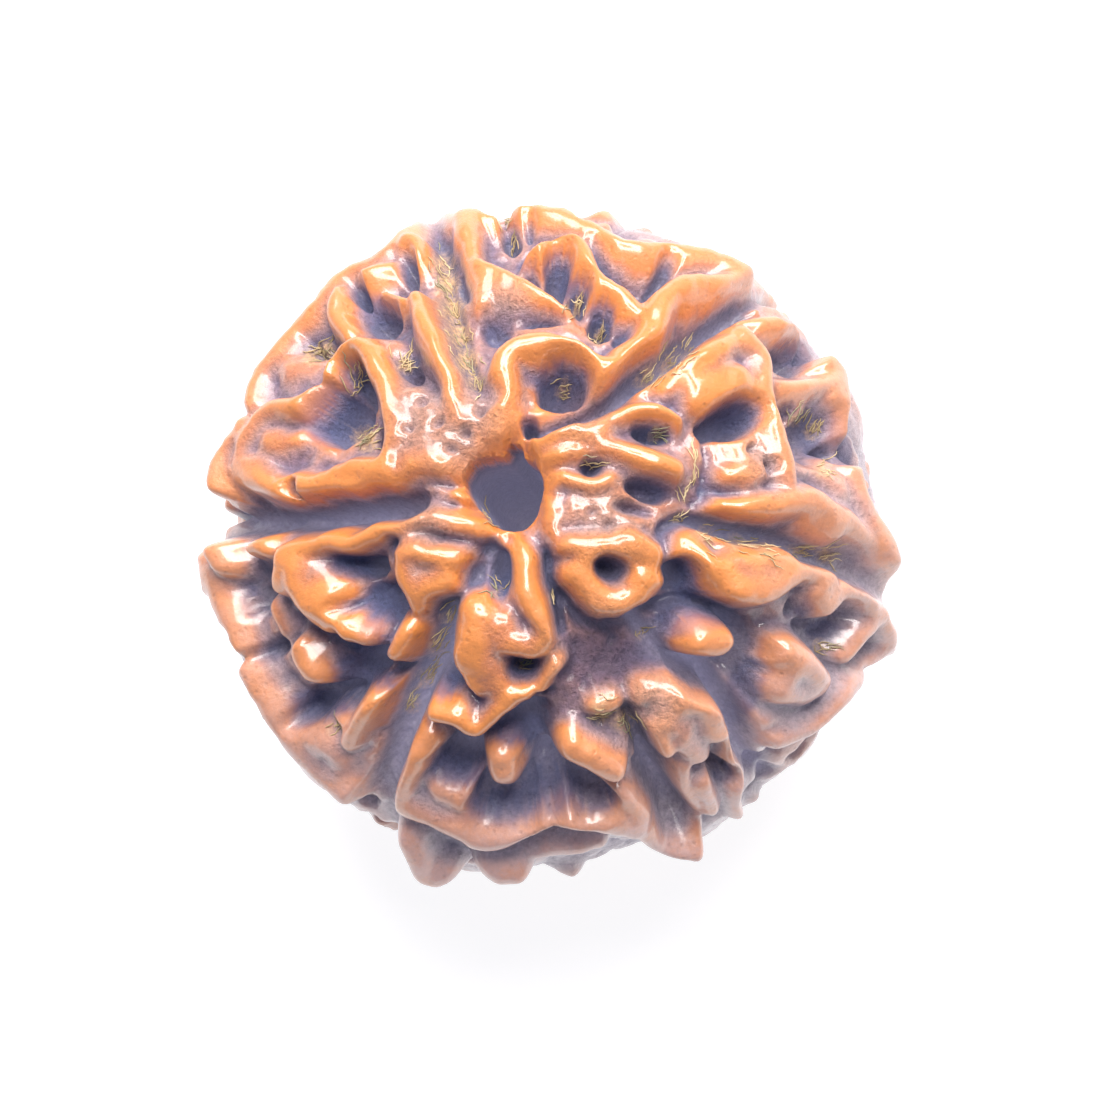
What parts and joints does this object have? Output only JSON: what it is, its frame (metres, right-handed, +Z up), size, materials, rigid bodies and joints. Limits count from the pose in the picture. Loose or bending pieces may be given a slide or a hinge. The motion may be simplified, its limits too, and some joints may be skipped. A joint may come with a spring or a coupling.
{
  "type": "rudraksha bead",
  "caption": "Natural rudraksha seed bead: a knobbly flattened ball of wood with deep clefts from pole to pole and a natural hole to thread it on a cord.",
  "frame": {"origin": "on the resting plane under the middle of the bead, at the lower mouth of the hole", "axes": "+Z up along the hole from the lower mouth to the wider upper mouth; the cleft with the widest gap runs towards -X and the double ridge beside the small round knob points to -Y"},
  "size_m": [0.0221, 0.022, 0.0166],
  "materials": {
    "rudraksha_wood": "gloss"
  },
  "bodies": {
    "root": {"rudraksha_bead": "rudraksha_wood"}
  },
  "joints": []
}
